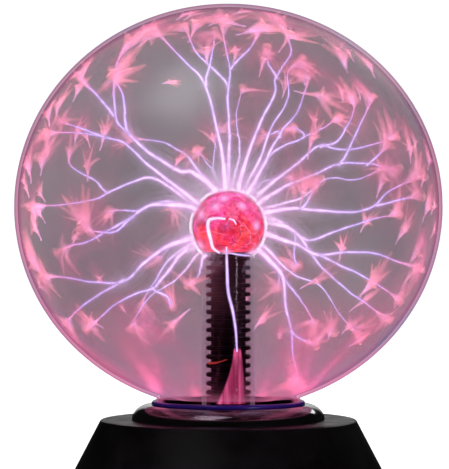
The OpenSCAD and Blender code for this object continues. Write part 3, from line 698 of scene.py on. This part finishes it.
def build_brushes(ends):
    """Where a strand meets the glass it opens into a soft trumpet and a fan of feathery fingers."""
    # Each is a scale of the radius, and the tubes at that scale, one round the other.
    fingers = [(1.0, Tubes(6)), (2.1, Tubes(8))]
    trumpets = [(1.0, Tubes(12)), (0.62, Tubes(12)), (0.30, Tubes(10))]
    for path, size, going in ends:
        end = path[-1]
        square = (end - CENTRE).normalized()
        aside = square.cross(going)
        tall = rng.uniform(9, 15) * size * MM
        wide = rng.uniform(1.6, 2.8) * size * MM
        rows = [p for p in path if (p - end).length < tall] if len(path) > 2 else []
        if len(rows) < 5:
            far = end - square * tall * 0.5 - going * tall * 0.9
            middle = end - square * tall * 0.4 - going * tall * 0.4
            near = end - square * tall * 0.1 - going * tall * 0.1
            rows = [bezier(far, middle, near, end, i / 9) for i in range(10)]
        last = len(rows) - 1
        for share, tubes in trumpets:
            radii = [0.35 * MM + wide * share * (i / last) ** 2.2 for i in range(last + 1)]
            tubes.add(rows, radii, [i / last for i in range(last + 1)])
        for k in range(rng.randint(5, 9)):
            turn = rng.gauss(0, 0.85)
            spoke = going * math.cos(turn) + aside * math.sin(turn)
            reach = rng.uniform(4, 20) * size * (0.6 + 0.4 * math.cos(turn)) * MM
            foot = on_glass(end + spoke * reach - CENTRE, FILM_GAP * rng.uniform(0.9, 2.5))
            root = rows[int(last * rng.uniform(0.25, 0.85))]
            knee = end - square * tall * 0.14 + spoke * reach * rng.uniform(0.1, 0.4)
            way_out = [bezier(root, knee, knee, foot, i / 9) for i in range(10)]
            thick = rng.uniform(0.35, 0.95) * size * MM
            radii = [thick * (0.25 + 0.75 * math.sin(math.pi * (0.1 + 0.86 * i / 9))) for i in range(10)]
            for scale, tubes in fingers:
                tubes.add(way_out, [r * scale for r in radii], [i / 9 for i in range(10)])
    looks = [
        ("brush_fingers", [(0.0, 0.18), (0.4, 0.32), (1.0, 0.06)]),
        ("brush_mist", [(0.0, 0.08), (0.4, 0.19), (1.0, 0.06)]),
        ("brush_trumpet_outer", [(0.0, 0.05), (0.5, 0.20), (1.0, 0.16)]),
        ("brush_trumpet_middle", [(0.0, 0.10), (0.5, 0.28), (1.0, 0.22)]),
        ("brush_trumpet_inner", [(0.0, 0.20), (0.5, 0.42), (1.0, 0.30)]),
    ]
    for (_, tubes), (name, solid) in zip(fingers + trumpets, looks):
        tubes.build(name, plasma(f"{name}_glow", BRUSH_STOPS, BRUSH_STRENGTH, solid, patchy=True))


def ball_grid(rings, spokes, place):
    """Vertices and faces of a closed ball whose point at each unit direction is place(direction)."""
    directions = [Vector((0, 0, 1))]
    for i in range(1, rings):
        down = math.pi * i / rings
        for k in range(spokes):
            turn = 2 * math.pi * k / spokes
            x = math.sin(down) * math.cos(turn)
            y = math.sin(down) * math.sin(turn)
            directions.append(Vector((x, y, math.cos(down))))
    directions.append(Vector((0, 0, -1)))
    faces = [(0, 1 + k, 1 + (k + 1) % spokes) for k in range(spokes)]
    for i in range(rings - 2):
        for k in range(spokes):
            a = 1 + i * spokes + k
            b = 1 + i * spokes + (k + 1) % spokes
            faces.append((a, a + spokes, b + spokes, b))
    last = len(directions) - 1
    row = 1 + (rings - 2) * spokes
    faces += [(row + k, last, row + (k + 1) % spokes) for k in range(spokes)]
    return [place(d) for d in directions], faces


def open_ball(name, verts, faces, marks, foot_z):
    """The ball without what lies below foot_z, and with a number that each vertex carries."""
    keep = [f for f in faces if all(verts[i].z > foot_z for i in f)]
    used = sorted({i for f in keep for i in f})
    renumber = {old: new for new, old in enumerate(used)}
    obj = mesh_object(name, [verts[i] for i in used], [tuple(renumber[i] for i in f) for f in keep])
    float_attribute(obj, "along", marks[used])
    return obj


# Pink veils that stand on the neck: half of the globe (-1 front, 1 back), how far right of the axis, width
# and height in millimetres, how much each leans to the right, strength.
VEILS = [
    (-1, -32, 3.6, 26, -0.40, 1.3), (-1, 32, 3.0, 28, -0.12, 1.3), (-1, 33, 1.8, 40, 0.75, 0.9),
    (-1, -20, 4.0, 8, -0.60, 0.4), (-1, 19, 4.0, 7, 0.50, 0.4), (-1, -34, 3.0, 30, -1.30, 0.6),
    (1, -33, 3.5, 20, -0.30, 0.9), (1, 33, 3.5, 20, 0.40, 0.9), (1, -14, 3.0, 12, -0.50, 0.5),
    (1, 16, 3.0, 14, 0.60, 0.5),
]
# How bright the film is: in a patch at a brush, in the haze round it, which is wider, and round the neck.
PATCH = 0.30
STRAND_HAZE = 0.10
LONE_HAZE = 0.04
HAZE_REACH = 17 * MM
NECK_RIM = 0.26


def build_film(ends):
    """The pink glow that spreads over the inside of the glass round each strand's end."""
    verts, faces = ball_grid(150, 300, lambda d: on_glass(d, FILM_GAP * 0.5))
    points = np.array([v[:] for v in verts])
    glow = np.zeros(len(points))
    for path, size, going in ends:
        end = path[-1]
        square = (end - CENTRE).normalized()
        apart = points - np.array((end + going * 5 * size * MM)[:])
        x = apart @ np.array(going[:])
        y = apart @ np.array(square.cross(going)[:])
        far = np.linalg.norm(apart, axis=1)
        turn = np.arctan2(y, x)
        phase = rng.uniform(0, 6.28)
        lobes = rng.randint(5, 8)
        star = 0.55 + 0.45 * np.cos(lobes * turn + phase + 3.0 * np.sin(2 * turn + phase))
        reach = (2.5 + 5.5 * star + 5 * np.clip(np.cos(turn), 0, 1) ** 2) * size * MM
        haze = STRAND_HAZE if len(path) > 1 else LONE_HAZE
        glow += PATCH * np.exp(-(far / reach) ** 2) + haze * np.exp(-(far / (HAZE_REACH * size)) ** 2)
    # The wall behind glows all over, most of all low down, and the neck has a rim of light under the veils.
    low = np.clip((CENTRE.z - 0.02 - points[:, 2]) / (GLOBE_B * 0.75), 0, 1)
    behind = np.clip((points[:, 1] + 0.05) / 0.08, 0, 1)
    glow = np.clip(glow, 0, 0.6) + behind * (0.17 * low**1.3 + 0.015)
    beside = np.clip(np.abs(points[:, 0]) / (12 * MM), 0.25, 1)
    glow += NECK_RIM * np.exp(-(points[:, 2] - ring_high.z) / (3.5 * MM)) * beside
    rise = (points[:, 2] - ring_high.z) / MM
    for half, right, wide, tall, lean, power in VEILS:
        apart = points[:, 0] / MM - right - lean * rise - 1.2 * np.sin(rise / 5 + right)
        fades = np.exp(-((apart / (wide + 0.12 * rise)) ** 2) - np.clip(rise, 0, None) / tall)
        glow += power * fades * (points[:, 1] * half > 0)
    obj = open_ball("glass_film", verts, faces, glow, ring_high.z + 0.3 * MM)
    s = Shade("glass_film_glow")
    along = s.attribute("along")
    cloud = s.span(s.noise(70.0, 5.0, 0.65, None, 0.6), 0.28, 0.72, 0.35, 1.25)
    body = s.math("MULTIPLY", along, cloud)
    tone = s.ramp(s.noise(34.0, 3.0), [(0.3, (0.95, 0.25, 0.50)), (0.7, (1.0, 0.27, 0.41))])
    light = s.glow(tone, s.span(along, 0.45, 1.0, 1.5, 2.8))
    obj.data.materials.append(s.finish(s.mix(s.math("MINIMUM", body, 0.7), s.clear(), light)))
    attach(obj, BODY)


# ---- The electrode ----


WOOL_STEPS = 12


def wool_strand(start, length, radius):
    """One curl of metal thread that creeps over the ball."""
    heading = random_vector()
    point = start.normalized()
    path = []
    for _ in range(WOOL_STEPS):
        heading = (heading - point * heading.dot(point)).normalized()
        path.append(BULB + point * radius * rng.uniform(0.985, 1.0))
        heading += random_vector(0.35)
        point = (point + heading * length / WOOL_STEPS / radius).normalized()
    return path


# Each thread has one colour of its own out of these.
THREAD_STOPS = [
    (0.0, (0.30, 0.006, 0.06)), (0.45, (0.92, 0.05, 0.05)),
    (0.78, (0.86, 0.05, 0.30)), (1.0, (1.0, 0.36, 0.66)),
]
THREAD_R = 0.11 * MM
THREADS = 420


def build_wool():
    """The electrode's ball of fine metal wool: a lumpy core under a mat of curled threads."""
    radius = wool_high.x - 0.45 * MM
    flat_z = wool_low.z + 0.2 * MM

    def lump(direction):
        rough = noise.fractal(direction * 5.0, 0.8, 2.0, 4)
        point = BULB + direction * radius * (1 - 0.04 * abs(rough))
        point.z = max(point.z, flat_z)
        return point

    core = mesh_object("wool_core", *ball_grid(72, 120, lump))
    s = Shade("wool_glow")
    blotch = s.noise(190.0, 5.0, 0.68, None, 0.6)
    red = s.ramp(blotch, [(0.30, (0.26, 0.006, 0.05)), (0.5, (0.80, 0.03, 0.06)), (0.70, (1.0, 0.13, 0.08))])
    rose = s.ramp(blotch, [(0.30, (0.42, 0.02, 0.24)), (0.5, (0.86, 0.06, 0.36)), (0.70, (1.0, 0.34, 0.74))])
    upwards = s.span(s.axis("Z"), BULB.z - 12 * MM, BULB.z + 16 * MM, -0.16, 0.26)
    tone = s.blend(s.span(s.math("ADD", upwards, s.noise(105.0, 2.0)), 0.44, 0.70), red, rose)
    shade = s.node("ShaderNodeBsdfPrincipled", Base_Color=tone, Roughness=0.55, Emission_Color=tone)
    shade.inputs["Emission Strength"].default_value = 2.2
    s.put(shade.inputs["Normal"], s.bump(blotch, 0.6, 0.6 * MM))
    s.mat.cycles.emission_sampling = "NONE"
    core.data.materials.append(s.finish(shade.outputs[0]))
    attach(core, BODY)
    threads = Tubes(4)
    for _ in range(THREADS):
        start = random_vector()
        path = wool_strand(start, rng.uniform(10, 26) * MM, wool_high.x - 0.15 * MM)
        if min(p.z for p in path) > flat_z + 0.4 * MM:
            threads.add(path, [THREAD_R] * len(path), [rng.uniform(0, 1)] * len(path))
    threads.build("wool_threads", plasma("wool_thread_glow", THREAD_STOPS, 2.3))
    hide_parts("electrode_wool")


def build_bulb_film(roots):
    """The bright sheath on the bulb, whitest where strands leave it."""
    verts, faces = ball_grid(90, 160, lambda d: BULB + d * (BULB_R + 0.25 * MM))
    points = np.array([v[:] for v in verts])
    glow = np.zeros(len(points))
    for root, power in roots:
        far = np.linalg.norm(points - np.array(root[:]), axis=1)
        glow += power * 0.5 * np.exp(-(far / (2.1 * MM)) ** 2)
    stem_joins = BULB.z - math.sqrt(BULB_R**2 - STEM_R**2)
    obj = open_ball("bulb_sheath", verts, faces, np.clip(glow, 0, 0.9), stem_joins + 0.5 * MM)
    s = Shade("bulb_sheath_glow")
    cloud = s.span(s.noise(230.0, 4.0, 0.6), 0.46, 0.75, 0.0, 0.24)
    body = s.math("ADD", s.attribute("along"), s.math("MULTIPLY", cloud, 0.7))
    light = s.glow((1.0, 0.50, 0.88, 1), 2.4)
    obj.data.materials.append(s.finish(s.mix(s.math("MINIMUM", body, 0.9), s.clear(), light)))
    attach(obj, BODY)


# Where strands that come towards the viewer touch the bulb: right and up from its middle, in millimetres.
FRONT_SPOTS = [
    (-6, 9.5), (6.5, 10), (-2, 13.5), (13.5, 0.5), (-13.5, -9), (-1, -12.5), (11, -12.5), (-13, 6),
]
SPOT_POWER = 1.7
# Strands that cling to the front of the bulb, placed in the same way.
HOOK = [(-1.5, 3.6), (-5.5, 3.9), (-9.0, 2.9), (-9.4, -0.6), (-8.2, -6.0), (-7.0, -10.0), (-4.0, -12.2)]
SPOT = [(0.2, 3.6), (2.4, 3.0), (3.6, 1.0)]
ARC = [(0.8, -12.2), (5, -13.0), (10.2, -13.6)]
# Strands on the front of the stem: right of its axis and down from the bulb's middle, in millimetres.
RUNNER = [(-0.8, 14), (-0.6, 20), (-0.1, 30), (2.0, 39), (3.4, 48), (4.0, 58)]
EMBER = [(-9.0, 63.5), (-5.0, 63), (-0.5, 61.5)]
EMBER_STOPS = [(0.0, (0.75, 0.05, 0.05)), (1.0, (0.9, 0.1, 0.08))]


def on_bulb(x, z, rise=0.8 * MM):
    """A point on the front of the bulb, x and z in millimetres from its middle."""
    radius = BULB_R + rise
    x, z = x * MM, z * MM
    return BULB + Vector((x, -math.sqrt(max(radius * radius - x * x - z * z, 0)), z))


def front_of_stem(x, drop, rise=0.7 * MM):
    """A point on the front of the stem, x to the right and drop below the bulb's middle, in millimetres."""
    radius = STEM_R + rise
    x = x * MM
    return Vector((x, -math.sqrt(radius * radius - x * x), BULB.z - drop * MM))


def build_creepers():
    """Strands that cling to the bulb and run down the front of the stem."""
    core, sheath, embers = Tubes(6), Tubes(8), Tubes(8)
    hook = smooth_through([on_bulb(*place) for place in HOOK], 8)
    spot = smooth_through([on_bulb(*place) for place in SPOT], 6)
    down = smooth_through([on_bulb(-0.9, -9.5), *[front_of_stem(*place) for place in RUNNER]], 8)
    arc = smooth_through([on_bulb(*place) for place in ARC], 8)
    for path, thick, shade in [(hook, 0.62, 0.0), (spot, 0.3, 0.2), (down, 0.5, 0.52), (arc, 0.36, 0.6)]:
        shares = [i / (len(path) - 1) for i in range(len(path))]
        radii = [thick * MM * (0.6 + 0.4 * math.sin(math.pi * t)) for t in shares]
        marks = [shade + 0.2 * t for t in shares]
        core.add(path, radii, marks)
        sheath.add(path, [r * 1.8 for r in radii], marks)
    ember = smooth_through([front_of_stem(*place) for place in EMBER], 8)
    radii = [0.5 * MM * (1.1 - 0.8 * i / (len(ember) - 1)) for i in range(len(ember))]
    embers.add(ember, radii, [0.5] * len(ember))
    embers.build("stem_ember", plasma("stem_ember_glow", EMBER_STOPS, 0.85, [(0.0, 0.8), (1.0, 0.8)]))
    core.build("creeper_cores", plasma("creeper_glow", CORE_STOPS, 3.2))
    soft = plasma("creeper_sheath_glow", HALO_STOPS, 2.4, [(0.0, 0.28), (1.0, 0.2)])
    sheath.build("creeper_sheaths", soft)


def build_curtain():
    """The pink curtain low on the front of the stem, where the runner ends."""
    rows, columns = 40, 48
    top, foot = 56.0, (BULB.z - ring_high.z) / MM + 1.0
    verts, marks = [], []
    for i in range(rows + 1):
        t = i / rows
        left = 2.4 - 8.4 * t**1.7
        right = 5.6 + 2.6 * t**0.6
        for k in range(columns + 1):
            u = k / columns
            verts.append(front_of_stem(left + (right - left) * u, top + (foot - top) * t, 0.5 * MM))
            soft = min(u / 0.12, 1) * min((1 - u) / 0.2, 1)
            across = 0.95 - 0.3 * math.sin(math.pi * u)
            downwards = 0.72 + 0.28 * t + 0.8 * math.exp(-(((t - 0.1) / 0.09) ** 2))
            marks.append(soft * across * downwards * min(t / 0.06, 1))
    obj = mesh_object("stem_curtain", verts, grid_faces(rows, columns))
    float_attribute(obj, "along", marks)
    s = Shade("stem_curtain_glow")
    fold = s.noise(1.0, 3.0, 0.6, s.stretched((520, 520, 30)))
    body = s.math("MULTIPLY", s.attribute("along"), s.span(fold, 0.3, 0.7, 0.35, 1.2))
    tone = s.ramp(fold, [(0.3, (0.72, 0.03, 0.16)), (0.7, (1.0, 0.22, 0.48))])
    obj.data.materials.append(s.finish(s.mix(s.math("MINIMUM", body, 0.9), s.clear(), s.glow(tone, 1.9))))
    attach(obj, BODY)


# ---- Materials of the solid pieces ----


def paint_all():
    paint(["glass_globe"], globe_glass())
    paint(["glass_stem", "exhaust_tip"], stem_glass())
    ridged_black = (0.0015, 0.0012, 0.002)
    ridged = moulded("sleeve_plastic", ridged_black, 0.3, 900.0, 0.04, spread=0.3, spec=0.5, ior=1.15)
    paint(["stem_sleeve"], ridged)
    paint(["hv_lead"], moulded("silicone_white", (0.72, 0.70, 0.66), 0.5, 700.0))
    paint(["lead_tip"], metal("brass", (0.78, 0.56, 0.22), 0.3))
    paint(["neck_ring"], moulded("ring_rubber", (0.020, 0.006, 0.17), 0.22, 500.0, 0.02, spread=0.3))
    paint(["neck_seal"], moulded("sealant", (0.62, 0.61, 0.58), 0.5, 600.0))
    gloss_black = (0.002, 0.0015, 0.002)
    paint(["collar"], moulded("collar_gloss", gloss_black, 0.09, 260.0, 0.01, spread=0.3, spec=1.8))
    paint(["neck_cushion"], moulded("foam", (0.05, 0.05, 0.052), 0.9, 900.0, 0.8))
    paint(["seat_cup", "transformer_cradle"], moulded("seat_plastic", (0.03, 0.03, 0.033), 0.45))
    satin_black = (0.0022, 0.0018, 0.0022)
    satin = moulded("base_satin", satin_black, 0.36, 1300.0, 0.07, spread=0.3, spec=0.5, ior=1.13)
    paint(["base_shell"], satin)
    paint(["base_plate"], moulded("plate_plastic", (0.020, 0.020, 0.021), 0.55, 900.0, 0.2))
    rubber = moulded("foot_rubber", (0.018, 0.018, 0.018), 0.75, 800.0, 0.3)
    paint([f"foot_{i}" for i in range(1, 5)], rubber)
    steel = metal("zinc_steel", (0.62, 0.62, 0.64), 0.3)
    paint(["seat_screws", "board_screws", "transistor_screw", "switch_body"], steel)
    paint(["plate_screws", "switch_screws"], metal("black_steel", (0.22, 0.22, 0.23), 0.35))
    paint(["rating_label"], metal("label_film", (0.66, 0.66, 0.66), 0.4, (900, 30, 900), 0.02))
    paint(["core_left", "core_right"], moulded("ferrite", (0.04, 0.04, 0.045), 0.5, 1100.0, 0.3))
    paint(["secondary_bobbin", "primary_bobbin"], moulded("nylon", (0.66, 0.62, 0.50), 0.42))
    paint(["secondary_winding"], wound("fine_copper", (0.62, 0.22, 0.08)))
    paint(["primary_winding"], wound("coarse_copper", (0.66, 0.16, 0.06)))
    paint(["heat_sink"], metal("extruded_aluminium", (0.78, 0.78, 0.80), 0.32, (900, 900, 40)))
    paint(["power_transistor", "control_chip"], moulded("epoxy", (0.02, 0.02, 0.021), 0.5, 1200.0, 0.2))
    paint(["electrolytic_1", "electrolytic_2"], moulded("can_sleeve", (0.014, 0.022, 0.11), 0.25, 300.0))
    paint(["film_capacitor"], moulded("dipped_epoxy", (0.50, 0.26, 0.03), 0.25, 260.0, 0.2))
    paint(["trimmer"], moulded("trimmer_plastic", (0.02, 0.07, 0.34), 0.4))
    paint(["dc_jack"], moulded("jack_plastic", (0.035, 0.035, 0.037), 0.4))
    paint(["jack_pin"], metal("nickel", (0.80, 0.79, 0.76), 0.2))
    paint(["jack_wire_positive"], moulded("wire_red", (0.45, 0.02, 0.015), 0.4, 500.0))
    black_wire = moulded("wire_black", (0.015, 0.015, 0.015), 0.4, 500.0)
    paint(["jack_wire_negative", "microphone_wires"], black_wire)
    paint(["switch_wires"], moulded("wire_yellow", (0.60, 0.40, 0.03), 0.4, 500.0))
    paint(["switch_knob"], moulded("knob_plastic", (0.075, 0.075, 0.08), 0.42, 900.0))
    paint(["microphone"], metal("capsule", (0.72, 0.72, 0.74), 0.35))
    paint(["circuit_board"], board_mask())
    for i in range(1, 5):
        low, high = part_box(f"resistor_{i}")
        middle = (low.x + high.x) / 2
        codes = [(0.28, 0.10, 0.03), (0.02, 0.02, 0.02), (0.50, 0.02, 0.02), (0.55, 0.38, 0.06)]
        bands = [(middle + (k - 1.5) * 1.3 * MM, 0.28 * MM, c) for k, c in enumerate(codes)]
        paint([f"resistor_{i}"], banded(f"resistor_lacquer_{i}", (0.62, 0.46, 0.28), bands))


def board_mask():
    """Green solder mask with paler tracks under it and pads along them."""
    s = Shade("solder_mask")
    brick = s.node("ShaderNodeTexBrick", Vector=s.place(), Scale=95.0)
    brick.inputs["Color1"].default_value = (0.012, 0.13, 0.045, 1)
    brick.inputs["Color2"].default_value = (0.016, 0.16, 0.055, 1)
    brick.inputs["Mortar"].default_value = (0.05, 0.30, 0.12, 1)
    brick.inputs["Mortar Size"].default_value = 0.03
    shader = s.node("ShaderNodeBsdfPrincipled", Base_Color=brick.outputs["Color"], Roughness=0.3)
    s.put(shader.inputs["Normal"], s.bump(brick.outputs["Fac"], 0.25, 0.1 * MM))
    return s.finish(shader.outputs[0])


# ---- Studio ----


def build_floor():
    size, parts = 6.0, 24
    lines = [(i / parts - 0.5) * size for i in range(parts + 1)]
    verts = [(x, y, 0) for y in lines for x in lines]
    floor = mesh_object("studio_floor", verts, grid_faces(parts, parts), smooth=False)
    s = Shade("floor_paper")
    tone = s.ramp(s.noise(6.0, 4.0), [(0.3, (0.86, 0.86, 0.86)), (0.7, (0.89, 0.89, 0.89))])
    # Painted light: the floor glows of itself, dimmer near the object and brighter farther out, so far off
    # it is as white as the backdrop.
    glow = s.span(s.vector("LENGTH", s.place()), 0.35, 0.9, 0.66, 0.90)
    shader = s.node("ShaderNodeBsdfPrincipled", Base_Color=tone, Roughness=0.8, Emission_Color=tone)
    s.put(shader.inputs["Emission Strength"], glow)
    floor.data.materials.append(s.finish(shader.outputs[0]))
    floor.visible_glossy = False


def area_light(name, place, aim, size, power):
    data = bpy.data.lights.new(name, "AREA")
    data.shape = "RECTANGLE"
    data.size, data.size_y = size
    data.energy = power
    lamp = link(bpy.data.objects.new(name, data))
    lamp.location = place
    lamp.rotation_euler = (Vector(aim) - Vector(place)).to_track_quat("-Z", "Y").to_euler()


def build_light():
    """White all round for the camera; for reflections it is dark on the viewer's side, as in a studio."""
    s = Sky("studio")
    path = s.node("ShaderNodeLightPath").outputs
    behind = s.math("MULTIPLY_ADD", s.math("ABSOLUTE", s.axis("X")), -3.0, s.axis("Y"))
    above = s.node("ShaderNodeMapRange", Value=s.axis("Z"), From_Max=0.10)
    above.interpolation_type = "SMOOTHSTEP"
    paper = s.span(s.math("MULTIPLY", behind, above.outputs["Result"]), 0.05, 0.45, 0.012, 0.95)
    lit = s.node("ShaderNodeBackground")
    s.put(lit.inputs["Strength"], s.math("MULTIPLY_ADD", path["Is Diffuse Ray"], 0.35, paper))
    seen = s.node("ShaderNodeBackground", Color=(1, 1, 1, 1), Strength=1.05)
    bpy.context.scene.world = s.finish(s.mix(path["Is Camera Ray"], lit.outputs[0], seen.outputs[0]))
    area_light("top_soft", (-0.45, -0.45, 1.5), (0, 0, 0.1), (0.7, 0.8), 17)
    area_light("side_strip", (0.74, -0.95, 0.10), (0, 0, 0.10), (0.17, 0.30), 3.2)
    area_light("rear_soft", (0.6, 1.3, 0.9), (0, 0, 0.08), (0.6, 0.6), 4)
    glow = bpy.data.lights.new("discharge_light", "POINT")
    glow.energy = 0.05
    glow.color = (1.0, 0.35, 0.62)
    glow.shadow_soft_size = 0.02
    lamp = link(bpy.data.objects.new("discharge_light", glow))
    lamp.location = (0, -0.03, CENTRE.z - 0.045)
    lamp.visible_glossy = False


def build_camera():
    data = bpy.data.cameras.new("camera")
    data.sensor_width = 36
    data.lens = 200
    data.clip_end = 50
    camera = link(bpy.data.objects.new("camera", data))
    camera.location = AIM - AHEAD * CAMERA_AWAY
    camera.rotation_euler = (math.pi / 2 - LOOK_DOWN, 0, 0)
    bpy.context.scene.camera = camera


def set_scene():
    scene = bpy.context.scene
    scene.view_settings.view_transform = "Standard"
    scene.cycles.transparent_max_bounces = 96
    scene.cycles.max_bounces = 8


# ---- Build ----

build_camera()
set_scene()
build_floor()
build_light()
paint_all()

strands = strand_list()
build_strands(strands)
ends = all_ends(strands)
build_brushes(ends)
build_film(ends)
build_wool()
roots = [(path[0], first) for path, first, last, rooted in strands if rooted]
build_bulb_film(roots + [(on_bulb(x, z), SPOT_POWER) for x, z in FRONT_SPOTS])
build_creepers()
build_curtain()
